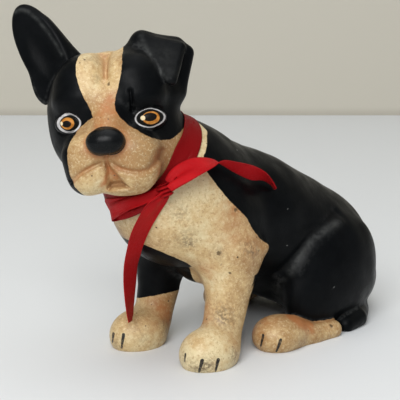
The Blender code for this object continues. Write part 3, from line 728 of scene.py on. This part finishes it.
def body_coats(points):
    """Black, claws, stains, tone, and wear with painted highlights, of the body."""
    black = body_black(points)
    high = points[:, 2]
    front = points[:, 1] < -26
    # In front: paler on the paws, and paler high on the chest as a painted highlight.
    front_tone_and_highlight = 0.2 - 0.2 * unit((15 - high) / 8) - 0.45 * unit((high - 84) / 12)
    tone = np.where(front, front_tone_and_highlight, 0.78)
    tone = tone + 0.35 * unit((-points[:, 0] - 2) / 8)
    # Browner towards the backs of the front legs and under the chest: brown paint, with painted shade.
    tone = tone + 0.4 * unit((points[:, 1] + 54) / 10) * unit((70 - high) / 15) * front
    tone = tone + 0.5 * np.exp(np.minimum(black, 0) / 9) * unit((high - 45) / 12)
    # Wear and a painted highlight along the haunch's ridge.
    rub_and_highlight = fade(distance_to(points, HAUNCH_RIDGE), 2.6)
    glaze = blobs(points.astype(float), BODY_GLAZE)
    smudge = blobs(points.astype(float), BODY_SMUDGES)
    claw = np.max([brush_stroke(points, *stroke) for stroke in CLAWS], axis=0)
    return {"black": black, "glaze": glaze, "tone": tone, "rub_and_highlight": rub_and_highlight, "smudge": smudge, "claw": claw}


def painted(mesh, field, is_head):
    """Stores on a casting's skin where each coat of paint, painted highlight and painted shade lies, and how
    deep or exposed each place is.
    """
    count = len(mesh.vertices)
    places, normals = np.zeros(count * 3), np.zeros(count * 3)
    mesh.vertices.foreach_get("co", places)
    mesh.vertices.foreach_get("normal", normals)
    points = from_frame(places.reshape(-1, 3))
    normals = normals.reshape(-1, 3).astype(np.float32)
    depth = 1 - field(points + normals * HOLLOW_PROBE) / HOLLOW_PROBE
    exposed = 1 + field(points - normals * EDGE_PROBE) / EDGE_PROBE
    scratches = [brush_stroke(points, *ends, SCRATCH_HALF_WIDTH) for ends in SCRATCHES]
    pits = [radius - lengths(points - np.array(place)) for place, radius in PITS]
    coats = dict.fromkeys(MARKS, np.full(count, OUTSIDE))
    coats.update(head_coats(points) if is_head else body_coats(points))
    coats.update(recess=unit(depth), exposed=unit(exposed))
    coats.update(scratch=np.max(scratches, axis=0), pit=np.max(pits, axis=0))
    for name, values in coats.items():
        set_attribute(mesh, name, values)


def casting(name, sculpt, cuts, nodes):
    """One closed piece of the painted castings, cut from a sculpted form by planes."""
    points, faces, field, is_head = sculpt
    form = bmesh.new()
    mesh = bpy.data.meshes.new(name)
    mesh.from_pydata(in_frame(points), [], faces)
    form.from_mesh(mesh)
    for place, normal in cuts:
        sliced(form, place, normal)
    bmesh.ops.recalc_face_normals(form, faces=form.faces[:])
    for face in form.faces:
        face.smooth = True
    form.to_mesh(mesh)
    form.free()
    painted(mesh, field, is_head)
    piece = placed(name, mesh, IRON)
    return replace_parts(piece, *nodes)


class Finish:
    """A material under construction, with short ways to add and wire nodes."""

    def __init__(self, name):
        self.material = bpy.data.materials.new(name)
        self.material.use_nodes = True
        self.nodes = self.material.node_tree.nodes
        self.links = self.material.node_tree.links
        self.shader = self.nodes["Principled BSDF"]
        self.place = self.nodes.new("ShaderNodeTexCoord").outputs["Object"]

    def feed(self, socket, value):
        if isinstance(value, bpy.types.NodeSocket):
            self.links.new(value, socket)
        elif isinstance(value, tuple) and len(value) == 3 and socket.type == "RGBA":
            socket.default_value = (*value, 1)
        else:
            socket.default_value = value

    def fill(self, node, inputs):
        """Feeds a node's inputs, each under its name with underscores."""
        for key, value in inputs.items():
            self.feed(node.inputs[key.replace("_", " ")], value)

    def coat(self, **inputs):
        self.fill(self.shader, inputs)

    def add(self, kind, settings=None, **inputs):
        node = self.nodes.new(kind)
        for key, value in (settings or {}).items():
            setattr(node, key, value)
        self.fill(node, inputs)
        return node

    def attribute(self, name):
        return self.add("ShaderNodeAttribute", {"attribute_name": name}).outputs["Fac"]

    def noise(self, scale, detail=3.0, roughness=0.55):
        inputs = {"Vector": self.place, "Scale": scale, "Detail": detail, "Roughness": roughness}
        return self.add("ShaderNodeTexNoise", **inputs).outputs["Fac"]

    def maths(self, operation, a, b=0.0):
        node = self.add("ShaderNodeMath", {"operation": operation})
        self.feed(node.inputs[0], a)
        self.feed(node.inputs[1], b)
        return node.outputs[0]

    def plus(self, a, b):
        return self.maths("ADD", a, b)

    def minus(self, a, b):
        return self.maths("SUBTRACT", a, b)

    def times(self, a, b):
        return self.maths("MULTIPLY", a, b)

    def ramp(self, value, low, high, to_low=0.0, to_high=1.0):
        node = self.add("ShaderNodeMapRange", {"interpolation_type": "SMOOTHSTEP"})
        for socket, item in zip(node.inputs, (value, low, high, to_low, to_high)):
            self.feed(socket, item)
        return node.outputs[0]

    def mix(self, share, one, other):
        node = self.add("ShaderNodeMix", {"data_type": "RGBA"})
        self.feed(node.inputs[0], share)
        self.feed(node.inputs[6], one)
        self.feed(node.inputs[7], other)
        return node.outputs[2]

    def layered(self, base, *coats):
        """A base colour under coats of (share, colour), the last one on top."""
        for share, colour in coats:
            base = self.mix(share, base, colour)
        return base

    def dots(self, scale, size, share):
        """Scattered specks, each of its own size, on a share of the places."""
        cells = self.add("ShaderNodeTexVoronoi", Vector=self.place, Scale=scale)
        chance = self.add("ShaderNodeSeparateColor", Color=cells.outputs["Color"])
        radius = self.ramp(chance.outputs[0], 1 - share, 1.0, 0.0, size * 1.6)
        return self.ramp(self.minus(radius, cells.outputs["Distance"]), 0.0, size * 0.4)

    def bump(self, height, strength, distance):
        node = self.add("ShaderNodeBump", Strength=strength, Distance=distance, Height=height)
        return node.outputs["Normal"]


def painted_iron():
    """Aged hand paint on iron: cream with a brown glaze in the hollows, satin black, and the small marks,
    with painted light and shade in the cream's tone and painted highlights on the black.
    """
    f = Finish("painted_iron")
    wobble = f.times(f.minus(f.noise(420, 3), 0.5), 0.9)
    patches = f.noise(75, 5, 0.62)
    clouds = f.noise(260, 5, 0.66)
    grain = f.noise(800, 5, 0.72)
    stipple = f.noise(620, 5, 0.75)
    recess, exposed = f.attribute("recess"), f.attribute("exposed")

    # The cream's tone follows the tone attribute, which holds painted light and shade as well as paint,
    # varied by patches and clouds.
    tone_and_painted_light = f.plus(f.attribute("tone"), f.times(f.minus(patches, 0.5), 1.3))
    tone_and_painted_light = f.plus(tone_and_painted_light, f.times(f.minus(clouds, 0.5), 1.3))
    glaze = f.times(f.attribute("glaze"), f.ramp(clouds, 0.3, 0.7, 0.45, 1.1))
    dirt = f.times(f.attribute("smudge"), f.ramp(f.noise(520, 4, 0.7), 0.38, 0.60))
    cream = f.layered(
        (0.66, 0.55, 0.325),
        (f.ramp(tone_and_painted_light, -0.1, 0.5), (0.55, 0.39, 0.19)),
        (f.ramp(tone_and_painted_light, 0.35, 1.05), (0.335, 0.195, 0.078)),
        (f.ramp(grain, 0.50, 0.66, 0, 0.5), (0.78, 0.65, 0.41)),
        (f.ramp(stipple, 0.51, 0.66, 0, 0.62), (0.33, 0.185, 0.07)),
        (f.ramp(recess, 0.08, 0.6, 0, 0.8), (0.27, 0.135, 0.055)),
        (f.maths("MINIMUM", glaze, 0.85), (0.40, 0.15, 0.05)),
        (dirt, (0.17, 0.125, 0.07)),
        (f.dots(260, 0.11, 0.30), (0.11, 0.065, 0.03)),
    )

    # The black's wear on exposed edges, with painted highlights along the rims, the flap and the haunch's
    # ridge.
    wear_and_highlight = f.times(f.ramp(exposed, 0.14, 0.45), f.ramp(f.noise(340, 4, 0.75), 0.40, 0.62))
    rim_wear_and_highlight = f.times(f.attribute("rub_and_highlight"), f.ramp(clouds, 0.3, 0.7, 0.15, 0.6))
    wear_and_highlight = f.plus(f.times(wear_and_highlight, 0.4), rim_wear_and_highlight)
    black = f.layered(
        (0.0018, 0.0022, 0.0026),
        (f.ramp(patches, 0.3, 0.7), (0.0034, 0.0040, 0.0046)),
        (wear_and_highlight, (0.058, 0.060, 0.058)),
        (f.dots(75, 0.028, 0.40), (0.30, 0.30, 0.29)),
        (f.ramp(f.attribute("scratch"), -0.1, 0.1, 0, 0.7), (0.34, 0.34, 0.33)),
    )

    edge = f.plus(f.attribute("black"), wobble)
    is_black = f.ramp(edge, -0.16, 0.16)
    nose = f.ramp(f.attribute("nose"), -0.2, 0.2)
    is_black = f.maths("MAXIMUM", is_black, nose)

    hand = f.times(wobble, 0.35)

    def inside(name):
        return f.ramp(f.plus(f.attribute(name), hand), -0.14, 0.14)

    ring, lid, iris, pupil, glint = [inside(n) for n in ("eye_ring", "eye_lid", "iris", "pupil", "glint")]
    amber = f.mix(f.ramp(f.noise(500, 2), 0.4, 0.65), (0.52, 0.22, 0.045), (0.36, 0.13, 0.02))
    claw = f.times(inside("claw"), f.ramp(f.noise(700, 3), 0.3, 0.5, 0.7, 1.0))
    pit = f.ramp(f.plus(f.attribute("pit"), f.times(wobble, 3.2)), -0.3, 0.7)
    colour = f.layered(
        cream,
        (is_black, black),
        (f.times(ring, f.ramp(clouds, 0.35, 0.6, 0.7, 1)), (0.60, 0.58, 0.57)),
        (lid, (0.008, 0.008, 0.007)),
        (iris, amber),
        (pupil, (0.008, 0.007, 0.006)),
        (glint, (0.72, 0.60, 0.38)),
        (claw, (0.018, 0.015, 0.012)),
        (f.times(pit, 0.85), (0.085, 0.05, 0.02)),
    )
    f.coat(Base_Color=colour)

    gloss = f.plus(f.ramp(is_black, 0, 1, 0.3, 0.06), f.times(nose, 0.09))
    f.coat(Specular_IOR_Level=gloss)
    sheen = f.ramp(f.noise(120, 4), 0.3, 0.7, -0.07, 0.09)
    rough = f.ramp(is_black, 0, 1, 0.40, 0.38)
    rough = f.plus(rough, sheen)
    rough = f.minus(rough, f.times(f.maths("MAXIMUM", nose, ring), 0.08))
    f.coat(Roughness=rough)
    height = f.plus(f.times(grain, f.ramp(is_black, 0, 1, 1.0, 0.3)), f.times(clouds, 0.8))
    height = f.minus(height, f.times(pit, 1.5))
    height = f.plus(height, f.times(is_black, 0.2))
    f.coat(Normal=f.bump(height, 0.5, 0.0003))
    return f.material


def satin_ribbon():
    """Red woven satin: fine ribs across its width, a firm woven edge, a soft sheen, and painted shade on the
    pieces given it.
    """
    f = Finish("red_satin_ribbon")
    uv = f.add("ShaderNodeUVMap", {"uv_map": "along"})
    parts = f.add("ShaderNodeSeparateXYZ", Vector=uv.outputs["UV"])
    across, along = parts.outputs[0], parts.outputs[1]
    ribs = f.maths("SINE", f.times(along, 2 * math.pi / RIB_PITCH))
    threads = f.maths("SINE", f.times(across, 2 * math.pi / THREAD_PITCH))
    border = f.ramp(f.maths("ABSOLUTE", across), 0.44 * RIBBON_WIDTH, 0.47 * RIBBON_WIDTH)
    tone = f.noise(90, 4)
    red = f.layered(
        (0.47, 0.007, 0.011),
        (f.ramp(tone, 0.3, 0.7), (0.39, 0.005, 0.008)),
        (f.times(f.ramp(ribs, -0.6, 0.9), 0.22), (0.26, 0.003, 0.005)),
        (f.times(border, 0.35), (0.25, 0.003, 0.005)),
        # Painted shade, darkest on the collar and less on the knot.
        (f.attribute("shade"), (0.15, 0.0018, 0.0025)),
    )
    f.coat(Base_Color=red, Specular_IOR_Level=0.08)
    f.coat(Sheen_Weight=0.03, Sheen_Roughness=0.4, Sheen_Tint=(1.0, 0.2, 0.2))
    f.coat(Roughness=f.ramp(f.noise(700, 2), 0.3, 0.7, 0.46, 0.58))
    height = f.plus(f.times(ribs, 0.6), f.times(threads, 0.25))
    height = f.plus(height, f.times(border, 1.2))
    f.coat(Normal=f.bump(height, 0.5, 0.00008))
    return f.material


def dark_steel():
    """Old screw steel, darkened in brown blotches."""
    f = Finish("dark_screw_steel")
    blotch = f.noise(600, 5, 0.7)
    steel = f.mix(f.ramp(blotch, 0.4, 0.65), (0.14, 0.13, 0.12), (0.075, 0.055, 0.04))
    f.coat(Base_Color=steel, Metallic=1.0)
    f.coat(Roughness=f.ramp(blotch, 0.35, 0.7, 0.36, 0.62))
    f.coat(Normal=f.bump(f.noise(1800, 3), 0.3, 0.0002))
    return f.material


def smooth_path(stations, steps):
    """Places on a smooth curve through the stations, as rows of numbers."""
    rows = np.array([np.concatenate([np.ravel(item) for item in station]) for station in stations])
    ends = np.vstack([2 * rows[0] - rows[1], rows, 2 * rows[-1] - rows[-2]])
    path = []
    for a, b, c, d in zip(ends, ends[1:], ends[2:], ends[3:]):
        for t in np.arange(steps) / steps:
            bend = (2 * a - 5 * b + 4 * c - d) * t * t
            path.append(0.5 * (2 * b + (c - a) * t + bend + (3 * b - a - 3 * c + d) * t**3))
    return np.array([*path, rows[-1]])


def eased_out(place, tree, gap):
    """The place, moved straight out of a solid until it clears it by a gap."""
    nearest, normal, _, _ = tree.find_nearest(place)
    height = (place - nearest).dot(normal)
    if height < gap:
        return nearest + normal * gap
    return place


def ribbon_strip(name, node, rows, shares, closed=False, shade=0.0):
    """A thin woven strip over rows of places, each row running across it, with its length and width as UV."""
    count, across = len(rows), len(rows[0])
    steps = [0.0]
    middle = across // 2
    ring = [*rows, rows[0]] if closed else rows
    for a, b in zip(ring, ring[1:]):
        steps.append(steps[-1] + (b[middle] - a[middle]).length / MM)
    faces, corners = [], []
    for i in range(count if closed else count - 1):
        for j in range(across - 1):
            k = (i + 1) % count
            faces.append((i * across + j, i * across + j + 1, k * across + j + 1, k * across + j))
            spots = ((j, i), (j + 1, i), (j + 1, i + 1), (j, i + 1))
            corners += [(shares[u], steps[v]) for u, v in spots]
    mesh = bpy.data.meshes.new(name)
    mesh.from_pydata([place for row in rows for place in row], [], faces)
    layer = mesh.uv_layers.new(name="along")
    for loop, (share, step) in zip(layer.data, corners):
        loop.uv = (share * RIBBON_WIDTH, step)
    for polygon in mesh.polygons:
        polygon.use_smooth = True
    strip = in_scene(name, mesh)
    thick = strip.modifiers.new("thickness", "SOLIDIFY")
    thick.thickness = RIBBON_THICKNESS * MM
    thick.offset = 0
    solid = bpy.data.meshes.new_from_object(strip.evaluated_get(bpy.context.evaluated_depsgraph_get()))
    bpy.data.objects.remove(strip)
    # How much painted shade darkens the strip.
    set_attribute(solid, "shade", np.full(len(solid.vertices), shade))
    piece = placed(name, solid, RIBBON)
    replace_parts(piece, node)
    return piece, steps[-1] * MM


def pleat(share, spread, folds, phase):
    """How far a gathered width stands up at a share of its width, so that its own width is kept."""
    spread = min(max(spread, 0.2), 1.0)
    rise = spread * RIBBON_WIDTH / (2 * math.pi * folds) * math.sqrt(2 * (1 / spread**2 - 1))
    return rise * math.cos(2 * math.pi * folds * share + phase)


def free_stretch(name, node, stations, skin, phase):
    """A stretch that stands free of the iron, gathered where it enters the knot."""
    path = smooth_path(stations, STRETCH_STEPS)
    rows = []
    for i, row in enumerate(path):
        middle, across = Vector(row[:3]), Vector(row[3:6]).normalized()
        ahead = Vector(path[min(i + 1, len(path) - 1)][:3]) - Vector(path[max(i - 1, 0)][:3])
        normal = ahead.cross(across).normalized()
        spread = row[6]
        places = []
        for share in ACROSS:
            rise = pleat(share, spread, STRETCH_FOLDS, phase)
            place = middle + across * share * spread * RIBBON_WIDTH + normal * rise
            places.append(eased_out(Vector(in_frame(place)), skin, STRETCH_GAP * MM))
        rows.append(places)
    piece, length = ribbon_strip(name, node, rows, ACROSS)


def collar_row(angle):
    """Places up the neck at one turn about it, from the lower edge, and the level of the tucked edge."""
    axes = turned(COLLAR_TURN).astype(np.float32)
    ray = axes @ floats((math.cos(angle), math.sin(angle), 0))
    outwards = np.arange(8, 70, 0.2, dtype=np.float32)
    levels = np.arange(0, COLLAR_RISE + 0.1, COLLAR_LEVEL, dtype=np.float32)
    start = floats(COLLAR_CENTRE) + levels[:, None] * axes[:, 2]
    line = start[:, None] + outwards[:, None] * ray
    reach = outwards[np.argmax(neck_form(line) > 0, axis=1)]
    places = start + reach[:, None] * ray
    jaw = head_field(places) < 1.2
    top = int(np.argmax(jaw)) - 1 if jaw.any() else len(levels) - 1
    return places, top


def collar(skin):
    """The stretch round the neck, lying on the iron all the way."""
    found = [collar_row(2 * math.pi * turn / COLLAR_STEPS) for turn in range(COLLAR_STEPS)]
    tops = np.array([top for _, top in found], float)
    rows = []
    for turn, (places, _) in enumerate(found):
        lowest = [min(tops[(turn + k) % COLLAR_STEPS] for k in range(j - 2, j + 3)) for j in range(-3, 4)]
        row = []
        for share in np.linspace(max(np.mean(lowest), COLLAR_LEAST_LEVELS), 0, len(ACROSS)):
            low = int(share)
            place = places[low] + (places[min(low + 1, len(places) - 1)] - places[low]) * (share - low)
            row.append(eased_out(Vector(in_frame(place)), skin, COLLAR_GAP * MM))
        rows.append(row)
    # The collar is darkened with painted shade.
    return ribbon_strip("red_collar", "ribbon_collar", rows, ACROSS, closed=True, shade=0.85)


def knot():
    """The turn of ribbon that ties the rest together, gathered across its width."""
    place = Matrix.Translation(KNOT_CENTRE) @ Matrix(turned(KNOT_TURN)).to_4x4()
    rows = []
    for turn in range(KNOT_STEPS):
        angle = 2 * math.pi * turn / KNOT_STEPS
        row = []
        for share in KNOT_ACROSS:
            crown = 1 - 0.25 * (2 * share) ** 2
            phase = 1.6 + 1.4 * math.sin(angle + 0.7)
            fold = pleat(share, 2 * KNOT_RADII[2] / RIBBON_WIDTH, KNOT_FOLDS, phase)
            spot = Vector((
                (KNOT_RADII[0] * crown + fold) * math.cos(angle),
                (KNOT_RADII[1] * crown + fold) * math.sin(angle),
                share * 2 * KNOT_RADII[2],
            ))
            row.append(Vector(in_frame(place @ spot)))
        rows.append(row)
    # The knot is darkened with painted shade.
    return ribbon_strip("red_knot", "ribbon_knot", rows, KNOT_ACROSS, closed=True, shade=0.5)


def flat_plane(name, finish, shape):
    bpy.ops.mesh.primitive_plane_add(size=1)
    plane = bpy.context.object
    plane.name = name
    plane.data.transform(shape)
    plane.data.materials.append(finish.material)
    return plane


def pale_table():
    table = Finish("pale_table")
    table.coat(Base_Color=(0.72, 0.74, 0.75), Roughness=0.6)
    floor = flat_plane("table", table, Matrix.Diagonal((TABLE_WIDTH, TABLE_WIDTH, 1, 1)))


def plain_wall(view):
    """The wall far behind, with painted shade making it a little darker at its foot."""
    wall = Finish("plain_wall")
    height = wall.add("ShaderNodeSeparateXYZ", Vector=wall.place)
    # Painted shade along the wall's foot.
    foot = wall.ramp(height.outputs[1], 0.0, WALL_FOOT)
    wall.coat(Base_Color=wall.mix(foot, (0.47, 0.44, 0.37), (0.575, 0.545, 0.465)), Roughness=0.9)
    # The wall has one face only, so that the puppy is also seen from behind it.
    one_sided = wall.nodes.new("ShaderNodeMixShader")
    wall.links.new(wall.nodes.new("ShaderNodeNewGeometry").outputs["Backfacing"], one_sided.inputs[0])
    wall.links.new(wall.shader.outputs[0], one_sided.inputs[1])
    wall.links.new(wall.nodes.new("ShaderNodeBsdfTransparent").outputs[0], one_sided.inputs[2])
    wall.links.new(one_sided.outputs[0], wall.nodes["Material Output"].inputs["Surface"])
    upright = Matrix.Diagonal((*WALL_SIZE, 1, 1)) @ Matrix.Translation((0, 0.5, 0))
    back = flat_plane("wall", wall, upright)
    away = Vector((-view.x, -view.y, 0)).normalized()
    back.matrix_world = (
        Matrix.Translation(away * WALL_DISTANCE)
        @ Matrix.Rotation(math.atan2(away.y, away.x) - math.pi / 2, 4, "Z")
        @ Matrix.Rotation(math.pi / 2, 4, "X")
    )


def softbox(name, place, power, size):
    lamp = bpy.data.lights.new(name, "AREA")
    lamp.energy = power
    lamp.size = size
    box = in_scene(name, lamp)
    box.location = place
    box.rotation_euler = (Vector(LIGHT_AIM) - place).to_track_quat("-Z", "Y").to_euler()


def soft_light(view, right):
    """A pale room, a window beside the camera and a wide light overhead."""
    world = bpy.data.worlds.new("soft_room")
    bpy.context.scene.world = world
    world.use_nodes = True
    room = world.node_tree.nodes["Background"].inputs
    room["Color"].default_value = (0.95, 0.97, 1.0, 1)
    room["Strength"].default_value = ROOM_STRENGTH
    middle = Vector(LIGHT_AIM)
    across, up, near = WINDOW_PLACE
    window = middle + right * across + view * near + Vector((0, 0, up))
    softbox("window", window, WINDOW_POWER, WINDOW_SIZE)
    softbox("ceiling", middle + Vector((0, 0, CEILING_HEIGHT)), CEILING_POWER, CEILING_SIZE)


def camera():
    """The photograph's camera, to the puppy's left and a little above it. Gives its back and right."""
    turn, rise = math.radians(VIEW_TURN), math.radians(VIEW_RISE)
    back = Vector((math.sin(turn) * math.cos(rise), -math.cos(turn) * math.cos(rise), math.sin(rise)))
    right = Vector((math.cos(turn), math.sin(turn), 0))
    data = bpy.data.cameras.new("camera")
    data.sensor_width = SENSOR_WIDTH
    data.lens = SENSOR_WIDTH * FOCAL_PIXELS / PHOTO_PIXELS
    data.clip_start = 0.05
    thing = in_scene("camera", data)
    columns = (right, back.cross(right), back, Vector(in_frame(CAMERA_PLACE)))
    thing.matrix_world = Matrix([(*column, i == 3) for i, column in enumerate(columns)]).transposed()
    bpy.context.scene.camera = thing
    return back, right


def stage_and_light():
    bpy.context.scene.view_settings.view_transform = "Standard"
    view, right = camera()
    pale_table()
    plain_wall(view)
    soft_light(view, right)


def tree_of(pieces):
    """One search tree over several meshes, in the frame's metres."""
    places, faces = [], []
    for piece in pieces:
        offset = len(places)
        places += [v.co for v in piece.data.vertices]
        faces += [[offset + i for i in p.vertices] for p in piece.data.polygons]
    return BVHTree.FromPolygons(places, faces)


stage_and_light()
RIBBON = satin_ribbon()
IRON = painted_iron()
STEEL = dark_steel()

neck_way = Vector(turned(COLLAR_TURN)[:, 2])
under_ribbon = Vector(COLLAR_CENTRE) + neck_way * SEAM_RISE
middle = (0, 0, 0)
head_cuts = ((under_ribbon, -neck_way),)
body_cuts = ((under_ribbon, neck_way), (middle, Vector((0, 0, -1))))
turn = math.radians(PARTING_TURN)
across_head = Vector((math.cos(turn), math.sin(turn), 0))
across_body = Vector((1, 0, 0))
pivot = (*PARTING_PIVOT, 0)

head_grid, body_grid = ((HEAD_VOXEL, BODY_VOXEL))
head_sculpt = (*sculpted(head_form, HEAD_BOX, head_grid), head_form, True)
body_sculpt = (*sculpted(body_form, BODY_BOX, body_grid), body_form, False)
castings = [
    casting("left_casting_head", head_sculpt, (*head_cuts, (pivot, -across_head)), ("left_half",)),
    casting("right_casting_nape", head_sculpt, (*head_cuts, (pivot, across_head)), ("right_half",)),
    casting("left_casting_body", body_sculpt, (*body_cuts, (middle, -across_body)), ("left_half",)),
    casting("right_casting_body", body_sculpt, (*body_cuts, (middle, across_body)), ("right_half",)),
]

for name in ("chest_screw", "rump_screw"):
    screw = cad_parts[name]
    screw.data.materials.clear()
    screw.data.materials.append(STEEL)

skin = tree_of(castings)
collar_piece, collar_length = collar(skin)
knot_piece, knot_length = knot()
free_stretch("red_loop", "ribbon_loop", LOOP, skin, 0.4)
free_stretch("red_long_tail", "ribbon_tail_long", LONG_TAIL, skin, 0.0)
free_stretch("red_short_tail", "ribbon_tail_short", SHORT_TAIL, skin, 0.8)
